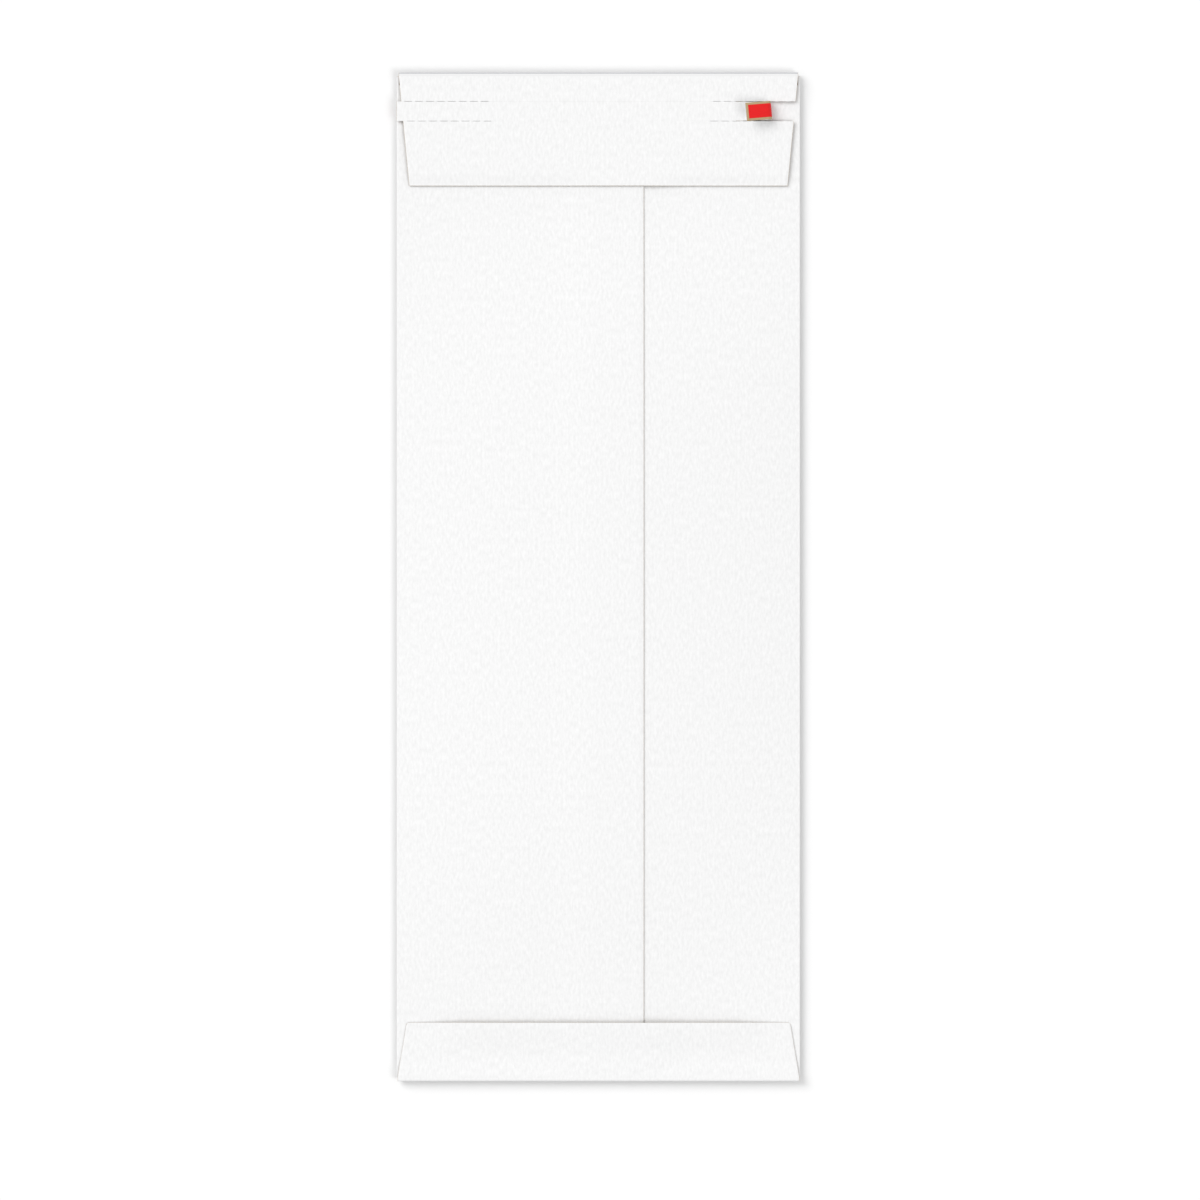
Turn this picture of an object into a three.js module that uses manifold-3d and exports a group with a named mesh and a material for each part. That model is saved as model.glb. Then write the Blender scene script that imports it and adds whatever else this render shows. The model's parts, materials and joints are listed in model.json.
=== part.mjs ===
// A long board-backed envelope, lying on its front with its back up, shut and empty.
// Millimetres. +X is to the right, +Y runs to the closure flap, +Z is up, and the front rests on Z = 0.
import * as THREE from "three";
import { mergeVertices } from "three/addons/utils/BufferGeometryUtils.js";
import Module from "manifold-3d";

const wasm = await Module();
wasm.setup();

// Overall size
const WIDTH = 160;
const LENGTH = 400;

// Sheets and films
const BOARD = 0.45;
const GLUE = 0.1;
const FILM_GAP = 0.02;
const POCKET_GAP = 0.9;
const TAPE = 0.08;
const LINER = 0.08;
const STEP = BOARD + GLUE;

// Back seam: the wide panel laps over the narrow one
const SEAM_FROM_EDGE = 62;
const SEAM_LAP = 18;
const JOGGLE = 20;
const JOGGLE_CLEAR = 1;
const SEAM_GLUE_INSET = 3;

// Closure flap and bottom flap, each a trapezoid on its own fold
const FLAP_DEPTH = 45;
const FLAP_INSET_FOLD = 0.7;
const FLAP_INSET_EDGE = 5;
const FLAP_CLEAR = 0.35;
const BOTTOM_DEPTH = 23.3;
const BOTTOM_INSET_FOLD = 0.1;
const BOTTOM_INSET_EDGE = 4;
const BOTTOM_CORNER = 1;
const BOTTOM_SETTLE = 8;

// The back panels bow up between the flaps, which makes the pocket
const CROWN = 4.7;
const BOW_CLEAR = 5;
const THROAT_SETBACK = 5;
const PANEL_END_CLEAR = 0.3;

// Tear strip across the closure flap
const STRIP_TOP = 11.6;
const STRIP_WIDTH = 7.7;
const KERF = 0.15;
const STARTER = 5;
const SEGMENTS = 6;
const CREST_FROM_EDGE = 11.5;
const TEAR_TAPE_WIDTH = 5.35;

// Perforation: cuts and ties at both ends of both of the strip's lines
const CUT = 3.3;
const PITCH = 4.33;
const CUTS = 8;
const CUT_OPEN = 0.2;
const CUTS_FROM_LEFT = { upper: 2.9, lower: 4.05 };
const CUTS_FROM_RIGHT = { upper: 1.1, lower: 2.15 };
const CUT_MARGIN = 0.4;

// Pull tab, folded back over the strip's end
const TAB_WIDTH = 7.3;
const TAB_LENGTH = 8.5;
const TAB_SHIFT = 0.1;
const TAB_TURN = THREE.MathUtils.degToRad(5);
const TAB_RISE = THREE.MathUtils.degToRad(11);
const TAB_BEND = 1.7;
const TAB_TAPE_MARGIN = 1;

// Seal under the closure flap
const SEAL_EDGE = 5;
const SEAL_WIDTH = 14;
const SEAL_INSET = 3;
const LINER_OVERHANG = 1;

// Glue under the bottom flap
const BOTTOM_GLUE_EDGE = 2.8;
const BOTTOM_GLUE_DEPTH = 10;
const BOTTOM_GLUE_INSET = 9;

const ARC_STEPS = 10;
const BOW_ROWS = 14;

// Levels, from the front panel up
const BACK_Z = BOARD + POCKET_GAP;
const BOTTOM_FLAP_Z = BACK_Z + BOARD + GLUE;
const FLAP_Z = BACK_Z + STEP + BOARD + FLAP_CLEAR;
const SIDE_OUTER = (BACK_Z + BOARD) / 2;
const CREASE_OUTER = (FLAP_Z + BOARD) / 2;
const BOTTOM_OUTER = (BOTTOM_FLAP_Z + STEP + BOARD) / 2;

// Where the folds start
const FOLD_X = WIDTH / 2 - SIDE_OUTER;
const CREASE_Y = LENGTH / 2 - CREASE_OUTER;
const BOTTOM_Y = BOTTOM_OUTER - LENGTH / 2;

// Edges across the envelope
const THROAT_Y = LENGTH / 2 - THROAT_SETBACK;
const PANEL_END_Y = BOTTOM_Y + PANEL_END_CLEAR;
const FLAP_EDGE_Y = LENGTH / 2 - FLAP_DEPTH;
const BOTTOM_EDGE_Y = BOTTOM_DEPTH - LENGTH / 2;
const STRIP_HIGH_Y = LENGTH / 2 - STRIP_TOP;
const STRIP_LOW_Y = STRIP_HIGH_Y - STRIP_WIDTH;
const STRIP_MID_Y = (STRIP_HIGH_Y + STRIP_LOW_Y) / 2;
const SEAM_X = WIDTH / 2 - SEAM_FROM_EDGE;
const LAP_X = SEAM_X - SEAM_LAP;
const TAB_OUTER = TAB_BEND + BOARD;
const BEND_X = WIDTH / 2 - CREST_FROM_EDGE - TAB_OUTER;
const TAB_Y = STRIP_MID_Y + TAB_SHIFT;

const WHITE = { color: 0xf9f9f9, roughness: 0.85, metalness: 0 };
const BEIGE = { color: 0xcabba2, roughness: 0.9, metalness: 0 };
const RED = { color: 0xe72a2a, roughness: 0.45, metalness: 0 };
const GLUE_LOOK = { color: 0xe9e4d4, roughness: 0.4, metalness: 0 };
const LINER_LOOK = { color: 0xf4f1e6, roughness: 0.35, metalness: 0 };

const clamp01 = (v) => Math.min(1, Math.max(0, v));

// Height of the bow above the flat lay of the back panels. It dies away smoothly at both flaps.
const BOW_TOP_Y = FLAP_EDGE_Y - BOW_CLEAR;
const BOW_LOW_Y = BOTTOM_EDGE_Y + BOW_CLEAR;
const BOW_MID_Y = (BOW_TOP_Y + BOW_LOW_Y) / 2;
const BOW_HALF = (BOW_TOP_Y - BOW_LOW_Y) / 2;
function bow(x, y) {
  const across = 1 - (x / FOLD_X) ** 2;
  const along = 1 - Math.min(1, Math.abs((y - BOW_MID_Y) / BOW_HALF)) ** 4;
  return CROWN * across * along ** 2;
}

// How far the wide panel is lifted over the narrow one, from 0 to 1
function lapLift(x) {
  return clamp01((x - (LAP_X - JOGGLE_CLEAR - JOGGLE)) / JOGGLE);
}

const widePanelZ = (x, y) => BACK_Z + STEP * lapLift(x) + bow(x, y);
const narrowPanelZ = (x, y) => BACK_Z + bow(x, y);
const seamGlueZ = (x, y) => BACK_Z + BOARD + FILM_GAP + bow(x, y);

// The bottom flap drapes over the lapped seam and comes down from its fold
function bottomFlapZ(x, y) {
  const overSeam = Math.min(lapLift(x), clamp01((SEAM_X + JOGGLE - x) / JOGGLE));
  const fromFold = clamp01(1 - (y - BOTTOM_Y) / BOTTOM_SETTLE);
  return BOTTOM_FLAP_Z + STEP * Math.max(overSeam, fromFold);
}

// Half widths of the two tapered flaps at a height y
function flapHalf(y) {
  const down = (LENGTH / 2 - y) / FLAP_DEPTH;
  return WIDTH / 2 - THREE.MathUtils.lerp(FLAP_INSET_FOLD, FLAP_INSET_EDGE, down);
}

function bottomHalf(y) {
  const up = (y + LENGTH / 2) / BOTTOM_DEPTH;
  return WIDTH / 2 - THREE.MathUtils.lerp(BOTTOM_INSET_FOLD, BOTTOM_INSET_EDGE, up);
}

const group = new THREE.Group();

function addPiece(name, geometry, look, parent = group) {
  const mesh = new THREE.Mesh(geometry, new THREE.MeshStandardMaterial(look));
  mesh.name = name;
  parent.add(mesh);
  return mesh;
}

// Values from low to high in equal steps
function spread(low, high, count) {
  return Array.from({ length: count + 1 }, (_, i) => low + ((high - low) * i) / count);
}

// A closed sheet over a grid: its underside follows floorZ(x, y)
function sheet(xs, ys, floorZ, thickness) {
  const positions = [];
  for (const lift of [0, thickness]) {
    for (const y of ys) {
      for (const x of xs) positions.push(x, y, floorZ(x, y) + lift);
    }
  }
  const columns = xs.length;
  const rows = ys.length;
  const upper = columns * rows;
  const at = (i, j) => j * columns + i;
  const index = [];
  const quad = (a, b, c, d) => index.push(a, b, c, a, c, d);
  for (let j = 0; j < rows - 1; j++) {
    for (let i = 0; i < columns - 1; i++) {
      const corners = [at(i, j), at(i + 1, j), at(i + 1, j + 1), at(i, j + 1)];
      const [a, b, c, d] = corners;
      quad(upper + a, upper + b, upper + c, upper + d);
      index.push(a, c, b, a, d, c);
    }
  }
  const rim = (a, b) => quad(a, b, upper + b, upper + a);
  for (let i = 0; i < columns - 1; i++) {
    rim(at(i, 0), at(i + 1, 0));
    rim(at(i + 1, rows - 1), at(i, rows - 1));
  }
  for (let j = 0; j < rows - 1; j++) {
    rim(at(columns - 1, j), at(columns - 1, j + 1));
    rim(at(0, j + 1), at(0, j));
  }
  const geometry = new THREE.BufferGeometry();
  geometry.setAttribute("position", new THREE.Float32BufferAttribute(positions, 3));
  geometry.setIndex(index);
  return geometry;
}

// A flat plate with the outline given as [x, y] points, counterclockwise, resting at floorZ
function plate(outline, floorZ, thickness) {
  const shape = new THREE.Shape(outline.map(([x, y]) => new THREE.Vector2(x, y)));
  const geometry = new THREE.ExtrudeGeometry(shape, { depth: thickness, bevelEnabled: false });
  return geometry.translate(0, 0, floorZ);
}

const rectangle = (x0, y0, x1, y1) => [
  [x0, y0],
  [x1, y0],
  [x1, y1],
  [x0, y1],
];

// A flap's outline: its half width at the fold and at the free edge, whose corners are rounded
function taperOutline(foldHalf, foldY, edgeHalf, edgeY, radius) {
  const lean = Math.atan2(edgeY - foldY, foldHalf - edgeHalf);
  const back = radius * Math.tan(lean / 2);
  const centre = [edgeHalf - back, edgeY - radius];
  const corner = spread(Math.PI / 2 - lean, Math.PI / 2, 4).map((a) => [
    centre[0] + radius * Math.cos(a),
    centre[1] + radius * Math.sin(a),
  ]);
  const right = [[foldHalf, foldY], ...corner];
  const left = right.map(([x, y]) => [-x, y]).reverse();
  return [...right, ...left];
}

// A three.js geometry as a manifold-3d solid, and back
function solid(geometry) {
  const bare = geometry.clone();
  bare.deleteAttribute("normal");
  bare.deleteAttribute("uv");
  const merged = mergeVertices(bare, 1e-4);
  const vertProperties = merged.attributes.position.array;
  const triVerts = new Uint32Array(merged.index.array);
  return new wasm.Manifold(new wasm.Mesh({ numProp: 3, vertProperties, triVerts }));
}

function meshGeometry(body) {
  const { vertProperties, triVerts } = body.getMesh();
  const geometry = new THREE.BufferGeometry();
  geometry.setAttribute("position", new THREE.BufferAttribute(vertProperties, 3));
  geometry.setIndex(new THREE.BufferAttribute(triVerts, 1));
  return geometry;
}

// A board's turn round a fold, as a profile in the plane of the outward direction and +Z
function foldProfile(inner, outer, turn) {
  const start = -Math.PI / 2;
  const outside = spread(start, start + turn, ARC_STEPS).map((a) => [outer * Math.cos(a), outer * Math.sin(a)]);
  const inside = spread(start + turn, start, ARC_STEPS).map((a) => [inner * Math.cos(a), inner * Math.sin(a)]);
  return new THREE.Shape([...outside, ...inside].map(([x, y]) => new THREE.Vector2(x, y)));
}

// Runs the profile for a length. The mesh is set with its centre line through the middle of that length.
function addFold(name, outward, centre, length, inner, outer, look, turn = Math.PI, parent = group) {
  const geometry = new THREE.ExtrudeGeometry(foldProfile(inner, outer, turn), {
    depth: length,
    bevelEnabled: false,
  });
  geometry.translate(0, 0, -length / 2);
  const out = new THREE.Vector3(...outward);
  const up = new THREE.Vector3(0, 0, 1);
  const along = out.clone().cross(up);
  const mesh = addPiece(name, geometry, look, parent);
  mesh.quaternion.setFromRotationMatrix(new THREE.Matrix4().makeBasis(out, up, along));
  mesh.position.set(...centre);
  return mesh;
}

// Front and back panels
addPiece("front_panel", plate(rectangle(-FOLD_X, BOTTOM_Y, FOLD_X, CREASE_Y), 0, BOARD), WHITE);

const lapStart = LAP_X - JOGGLE_CLEAR - JOGGLE;
const glueColumns = spread(LAP_X + SEAM_GLUE_INSET, SEAM_X - SEAM_GLUE_INSET, 2);
const seamColumns = [LAP_X, ...glueColumns, SEAM_X];
const joggleColumns = spread(lapStart, LAP_X - JOGGLE_CLEAR, 2).slice(1);
const wideColumns = [...spread(-FOLD_X, lapStart, 5), ...joggleColumns, ...seamColumns];
const narrowColumns = [...seamColumns, ...spread(SEAM_X, FOLD_X, 5).slice(1)];
const bowRows = spread(BOW_LOW_Y, BOW_TOP_Y, BOW_ROWS);
const panelRows = [PANEL_END_Y, ...bowRows, THROAT_Y];
const seamGlueThickness = GLUE - 2 * FILM_GAP;
addPiece("wide_back_panel", sheet(wideColumns, panelRows, widePanelZ, BOARD), WHITE);
addPiece("narrow_back_panel", sheet(narrowColumns, panelRows, narrowPanelZ, BOARD), WHITE);
addPiece("side_seam_glue", sheet(glueColumns, bowRows, seamGlueZ, seamGlueThickness), GLUE_LOOK);

// The folds along both sides, from the front panel round to the back panels
const SIDE_INNER = SIDE_OUTER - BOARD;
const sideLength = CREASE_Y - BOTTOM_Y;
const sideMiddle = (CREASE_Y + BOTTOM_Y) / 2;
for (const [name, side] of Object.entries({ left_side_fold: -1, right_side_fold: 1 })) {
  const centre = [side * FOLD_X, sideMiddle, SIDE_OUTER];
  addFold(name, [side, 0, 0], centre, sideLength, SIDE_INNER, SIDE_OUTER, WHITE);
}

// Bottom fold, and the bottom flap glued over the back panels
const bottomFoldLength = 2 * bottomHalf(BOTTOM_Y);
const bottomCentre = [0, BOTTOM_Y, BOTTOM_OUTER];
const bottomInner = BOTTOM_OUTER - BOARD;
addFold("bottom_fold", [0, -1, 0], bottomCentre, bottomFoldLength, bottomInner, BOTTOM_OUTER, WHITE);

const drapeColumns = [
  -FOLD_X - SIDE_OUTER,
  lapStart,
  LAP_X - JOGGLE_CLEAR,
  SEAM_X,
  SEAM_X + JOGGLE,
  FOLD_X + SIDE_OUTER,
];
const drapeRows = [...spread(BOTTOM_Y, BOTTOM_Y + BOTTOM_SETTLE, 4), BOTTOM_EDGE_Y];
const bottomOutline = taperOutline(
  bottomHalf(BOTTOM_Y),
  BOTTOM_Y,
  bottomHalf(BOTTOM_EDGE_Y),
  BOTTOM_EDGE_Y,
  BOTTOM_CORNER,
);
const bottomStock = solid(sheet(drapeColumns, drapeRows, bottomFlapZ, BOARD));
const bottomCutter = solid(plate(bottomOutline, 0, 2 * FLAP_Z));
addPiece("bottom_flap", meshGeometry(bottomStock.intersect(bottomCutter)), WHITE);

const glueTop = BOTTOM_EDGE_Y - BOTTOM_GLUE_EDGE;
const glueLow = glueTop - BOTTOM_GLUE_DEPTH;
const glueReach = bottomHalf(BOTTOM_EDGE_Y) - BOTTOM_GLUE_INSET;
for (const [name, x0, x1] of [
  ["bottom_glue_left", -glueReach, lapStart],
  ["bottom_glue_right", SEAM_X + JOGGLE, glueReach],
]) {
  addPiece(name, plate(rectangle(x0, glueLow, x1, glueTop), BOTTOM_FLAP_Z - GLUE, GLUE), GLUE_LOOK);
}

// Closure flap: its crease, then the bands above and below the tear strip
const creaseCentre = [0, CREASE_Y, CREASE_OUTER];
const creaseLength = 2 * flapHalf(CREASE_Y);
addFold("flap_crease", [0, 1, 0], creaseCentre, creaseLength, CREASE_OUTER - BOARD, CREASE_OUTER, WHITE);

// Perforation cuts on one of the strip's lines, as [low x, high x], where there is both flap and strip
function cutSpans(line, y) {
  const spans = [];
  for (let k = 0; k < CUTS; k++) {
    const left = CUTS_FROM_LEFT[line] + k * PITCH - WIDTH / 2;
    const right = WIDTH / 2 - CUTS_FROM_RIGHT[line] - k * PITCH;
    spans.push([left, left + CUT], [right - CUT, right]);
  }
  const most = flapHalf(y) - CUT_MARGIN;
  const last = BEND_X - CUT_MARGIN;
  return spans.filter(([low, high]) => low > -most && high < last).sort((a, b) => a[0] - b[0]);
}

// The edge from one side of the flap to the other, with each cut opened away from the strip
function cutEdge(line, y, away) {
  const notched = cutSpans(line, y).flatMap(([low, high]) => [
    [low, y],
    [low, y + away * CUT_OPEN],
    [high, y + away * CUT_OPEN],
    [high, y],
  ]);
  return [[-flapHalf(y), y], ...notched, [flapHalf(y), y]];
}

const plainEdge = (y) => [
  [-flapHalf(y), y],
  [flapHalf(y), y],
];
const bandOutline = (lowEdge, highEdge) => [...lowEdge, ...highEdge.reverse()];
const upperBand = bandOutline(cutEdge("upper", STRIP_HIGH_Y + KERF / 2, 1), plainEdge(CREASE_Y));
const lowerBand = bandOutline(plainEdge(FLAP_EDGE_Y), cutEdge("lower", STRIP_LOW_Y - KERF / 2, -1));
addPiece("flap_upper_band", plate(upperBand, FLAP_Z, BOARD), WHITE);
addPiece("flap_lower_band", plate(lowerBand, FLAP_Z, BOARD), WHITE);

// Seal under the lower band, still covered by its liner
const sealLow = FLAP_EDGE_Y + SEAL_EDGE;
const sealHalf = flapHalf(sealLow) - SEAL_INSET;
const sealZ = FLAP_Z - GLUE;
const linerHalf = sealHalf + LINER_OVERHANG;
const sealOutline = rectangle(-sealHalf, sealLow, sealHalf, sealLow + SEAL_WIDTH);
const linerOutline = rectangle(
  -linerHalf,
  sealLow - LINER_OVERHANG,
  linerHalf,
  sealLow + SEAL_WIDTH + LINER_OVERHANG,
);
addPiece("seal_adhesive", plate(sealOutline, sealZ, GLUE), GLUE_LOOK);
addPiece("release_liner", plate(linerOutline, sealZ - FILM_GAP - LINER, LINER), LINER_LOOK);

// Tear strip and the tear tape under it, in lengths that hinge on each other, from the starter at the left
const stripLow = STRIP_LOW_Y + KERF / 2;
const stripHigh = STRIP_HIGH_Y - KERF / 2;
const tapeLow = STRIP_MID_Y - TEAR_TAPE_WIDTH / 2;
const tapeHigh = STRIP_MID_Y + TEAR_TAPE_WIDTH / 2;
const bendEnd = (y) => BEND_X - FILM_GAP - (y - TAB_Y) * Math.tan(TAB_TURN);

// A length of strip, where the last one ends on the pull tab's slanted fold
function stripOutline({ from, to, atFold }, low, high) {
  const end = (y) => (atFold ? bendEnd(y) : to);
  return [
    [from, low],
    [end(low), low],
    [end(high), high],
    [from, high],
  ];
}

const stripStart = -WIDTH / 2;
const joints = spread(stripStart + STARTER, BEND_X, SEGMENTS);
const lengths = [
  { strip: "starter_tab", tape: "starter_tape", from: stripStart, to: joints[0], atFold: false },
];
for (let k = 1; k <= SEGMENTS; k++) {
  lengths.push({
    strip: `tear_strip_${k}`,
    tape: `tear_tape_${k}`,
    from: joints[k - 1],
    to: joints[k],
    atFold: k === SEGMENTS,
  });
}
for (const length of lengths) {
  addPiece(length.strip, plate(stripOutline(length, stripLow, stripHigh), FLAP_Z, BOARD), WHITE);
  addPiece(length.tape, plate(stripOutline(length, tapeLow, tapeHigh), FLAP_Z - TAPE, TAPE), RED);
}

// Pull tab: the strip's torn end folded back over itself, so that its beige inside and the tape face up
const tab = new THREE.Group();
tab.position.set(BEND_X, TAB_Y, FLAP_Z + TAB_OUTER);
tab.rotation.z = TAB_TURN;
group.add(tab);
const tabArc = Math.PI - TAB_RISE;
const foldOut = [1, 0, 0];
const tapeOuter = TAB_OUTER + TAPE;
addFold("pull_tab_fold", foldOut, [0, 0, 0], TAB_WIDTH, TAB_BEND, TAB_OUTER, WHITE, tabArc, tab);
addFold("pull_tab_fold_tape", foldOut, [0, 0, 0], TEAR_TAPE_WIDTH, TAB_OUTER, tapeOuter, RED, tabArc, tab);
const leaf = new THREE.Group();
leaf.rotation.y = TAB_RISE;
tab.add(leaf);
const leafOutline = rectangle(-TAB_LENGTH, -TAB_WIDTH / 2, 0, TAB_WIDTH / 2);
const leafTapeOutline = rectangle(
  TAB_TAPE_MARGIN - TAB_LENGTH,
  -TEAR_TAPE_WIDTH / 2,
  0,
  TEAR_TAPE_WIDTH / 2,
);
addPiece("pull_tab", plate(leafOutline, TAB_BEND, BOARD), BEIGE, leaf);
addPiece("pull_tab_tape", plate(leafTapeOutline, TAB_OUTER, TAPE), RED, leaf);

export default group;
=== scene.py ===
# A long white board envelope, lying shut with its back up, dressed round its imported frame.
# Metres. +X is to the right, +Y runs to the closure flap, and +Z is up out of the back.
import functools
import json
import math
from typing import NamedTuple

import bmesh
import bpy
from bpy.props import FloatProperty, FloatVectorProperty, IntProperty, PointerProperty
from mathutils import Matrix, Vector
from mathutils.noise import noise


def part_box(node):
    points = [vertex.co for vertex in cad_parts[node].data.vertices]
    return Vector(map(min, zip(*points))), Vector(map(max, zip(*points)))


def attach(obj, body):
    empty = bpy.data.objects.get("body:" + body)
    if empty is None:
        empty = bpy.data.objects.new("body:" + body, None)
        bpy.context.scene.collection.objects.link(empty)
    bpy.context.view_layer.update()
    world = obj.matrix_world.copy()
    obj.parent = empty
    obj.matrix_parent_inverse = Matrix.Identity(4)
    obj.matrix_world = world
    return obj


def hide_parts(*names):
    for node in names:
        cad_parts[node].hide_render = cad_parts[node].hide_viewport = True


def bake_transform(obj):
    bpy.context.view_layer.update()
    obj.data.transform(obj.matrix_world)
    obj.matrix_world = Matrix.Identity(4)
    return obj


bl_info = {
    "name": "Board envelope",
    "version": (1, 0, 0),
    "blender": (4, 5, 0),
    "location": "View3D > Sidebar > Envelope",
    "description": "Makes the panels, flaps, tear strip and finishes of a board envelope",
    "category": "Object",
}

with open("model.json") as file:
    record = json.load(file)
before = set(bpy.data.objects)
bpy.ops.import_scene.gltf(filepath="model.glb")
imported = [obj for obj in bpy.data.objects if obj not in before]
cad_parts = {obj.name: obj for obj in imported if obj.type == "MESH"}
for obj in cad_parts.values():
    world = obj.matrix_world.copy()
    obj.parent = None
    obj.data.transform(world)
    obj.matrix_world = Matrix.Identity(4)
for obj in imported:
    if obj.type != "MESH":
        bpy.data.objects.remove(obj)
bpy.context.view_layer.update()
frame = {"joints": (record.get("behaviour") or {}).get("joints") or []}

MM = 0.001


@functools.cache
def node_box(node):
    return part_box(node)


def low(node):
    return node_box(node)[0]


def high(node):
    return node_box(node)[1]


def joint_place(name):
    return Vector(next(j["pos_m"] for j in frame["joints"] if j["name"] == name))


# Outline, folds and levels, as the frame has them
BOARD = high("front_panel").z
FOLD_X = high("front_panel").x
CREASE_Y = high("front_panel").y
BOTTOM_Y = low("front_panel").y
HALF_WIDTH = high("right_side_fold").x
SIDE_OUTER = HALF_WIDTH - FOLD_X
CREASE_OUTER = high("flap_crease").y - CREASE_Y
BOTTOM_OUTER = BOTTOM_Y - low("bottom_fold").y
BACK_Z = low("wide_back_panel").z
FLAP_Z = low("flap_upper_band").z
BOTTOM_FLAP_Z = low("bottom_flap").z
GLUE = BOTTOM_FLAP_Z - BACK_Z - BOARD
STEP = BOARD + GLUE

# Edges across the envelope
SEAM_X = high("wide_back_panel").x
LAP_X = low("narrow_back_panel").x
THROAT_Y = high("wide_back_panel").y
PANEL_END_Y = low("wide_back_panel").y
FLAP_EDGE_Y = low("flap_lower_band").y
BOTTOM_EDGE_Y = high("bottom_flap").y
STRIP_HIGH_Y = (low("flap_upper_band").y + high("tear_strip_1").y) / 2
STRIP_LOW_Y = (high("flap_lower_band").y + low("tear_strip_1").y) / 2
STRIP_START_X = low("starter_tab").x

# Tear tape and pull tab
TAPE = high("tear_tape_1").z - low("tear_tape_1").z
TAPE_LOW_Y = low("tear_tape_1").y
TAPE_HIGH_Y = high("tear_tape_1").y
TAB_HINGE = joint_place("tab_unfold")
TAB_OUTER = TAB_HINGE.z - FLAP_Z
TAB_BEND = TAB_OUTER - BOARD
STRIP_NUMBERS = range(1, 7)
STRIP_JOINTS = [joint_place(f"strip_tear_{k}").x for k in STRIP_NUMBERS]

# Where the closure flap's crease carries fine cracks with painted shade, a dark line on both sides of its
# middle, as shares of a quarter turn
CREASE_SHADE_PLACE = 0.55
CREASE_SHADE_HALF = 0.22

# Board and glue aren't quite straight: the flap's edge has swells of this size across and along, the
# seam's glue wanders by this share of its half width, and the other films have a ragged edge
FLAP_SWELL = (38 * MM, 90 * MM)
SEAM_SWELL = (1 / 0.6, 11 * MM)
SEAM_WANDER = 0.12
FILM_SWELL = (1 / 4.1, 1 / 3.3)
FILM_RAGGED = 0.35 * MM

# Each of these noises takes its own slice of the noise space
FLAP_SLICE = 3.7
SEAM_SLICE = 1.3
FILM_SLICE = 50

# The bottom flap's lift fades over one part in this many of its half width
LIFT_FADE = 3

# Faces that meet at more than this angle have a sharp edge between them
SHARP_ANGLE = math.radians(30)

# A cut face's normal rises by less than this
CUT_FACE_RISE = 0.3

# Steps in the grids of the flaps and folds across, of the panels across and along, and round a turn
WIDTH_STEPS = 96
PANEL_STEPS = 32
ROW_STEPS = 150
TURN_STEPS = 32

# Stage: the floor lies under the front, because a real envelope's bow lifts its rim off the table
FLOOR_REACH = 4.0
FLOOR_DROP = 1.4 * MM
ROOM_LIGHT = 0.71

# Name, strength, width in degrees and direction of each softbox
SOFTBOXES = (
    ("key_softbox", 1.72, 36, (-0.85, 0.7, 1.0)),
    ("fill_softbox", 0.8, 26, (1.0, -0.74, 1.48)),
)

# Camera: a long lens straight above the envelope
VIEW_WIDTH = 476.2 * MM
VIEW_CENTRE = Vector((0.63 * MM, -9.19 * MM, 0))
LENS = 200
SENSOR_WIDTH = 36
CLIP_END = 20


def srgb(code):
    """An sRGB hex colour as linear red, green and blue."""
    values = [int(code[i : i + 2], 16) / 255 for i in (1, 3, 5)]
    return tuple(v / 12.92 if v <= 0.04045 else ((v + 0.055) / 1.055) ** 2.4 for v in values)


def length(name, description, default):
    return FloatProperty(name=name, description=description, default=default, unit="LENGTH")


def degrees(name, description, amount):
    default = math.radians(amount)
    return FloatProperty(name=name, description=description, default=default, subtype="ANGLE")


def colour(name, description, code):
    return FloatVectorProperty(
        name=name, description=description, default=srgb(code), subtype="COLOR", size=3, min=0, max=1
    )


class EnvelopeBoard(bpy.types.PropertyGroup):
    crown: length("Crown", "How far the back panels bow up in the middle of the pocket", 4.7 * MM)
    bow_clear: length("Bow clearance", "Flat stretch of back between a flap's edge and the bow", 5 * MM)
    joggle: length("Joggle", "Length over which the wide panel rises onto the narrow one", 20 * MM)
    joggle_clear: length("Joggle clearance", "Full lift that runs on past the narrow panel's edge", 1 * MM)
    settle: length("Settle", "Length over which the bottom flap comes down from its fold", 8 * MM)
    bottom_inset: length("Bottom flap inset", "How far the bottom flap's free edge is set in", 4 * MM)
    bottom_corner: length("Bottom flap corner", "Radius of the bottom flap's corners", 1 * MM)
    edge_round: length("Edge rounding", "Radius that the cutting rule leaves on a cut edge", 0.07 * MM)
    ease: length("Ease", "How far the closure flap's free edge waves up and down", 0.06 * MM)
    squareness: FloatProperty(
        name="Squareness",
        description="Shape of a crease's turn: 2 is round, more is squarer",
        default=4.2,
        min=2,
    )
    flap_gap: length("Flap gap", "Air under the closure flap's free edge, where it comes down", 0.35 * MM)
    flap_lip: length("Flap lip", "Strip along the closure flap's free edge that comes down", 5 * MM)
    lift: length("Lift", "How far the bottom flap's free edge springs up in the middle", 1.3 * MM)
    lift_strip: length("Lifted strip", "Strip along the bottom flap's free edge that springs up", 14 * MM)
    lift_half: length("Lifted half", "Half of the width over which the bottom flap's edge is up", 74 * MM)


class EnvelopePerforation(bpy.types.PropertyGroup):
    cut: length("Cut", "Length of one perforation cut", 3.05 * MM)
    pitch: length("Pitch", "From the start of one cut to the start of the next", 4.33 * MM)
    slit: length("Slit", "Width that one cut stands open", 0.12 * MM)
    ties: length("Ties", "Hair line that the ties leave between the strip and the bands", 0.006 * MM)
    count: IntProperty(name="Cuts", description="Cuts at each end of a line", default=8, min=1)
    upper_left: length("Upper left", "From the left edge to the upper line's first cut", 3.03 * MM)
    lower_left: length("Lower left", "From the left edge to the lower line's first cut", 4.18 * MM)
    upper_right: length("Upper right", "From the right edge to the upper line's last cut", 1.22 * MM)
    lower_right: length("Lower right", "From the right edge to the lower line's last cut", 2.28 * MM)


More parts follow.
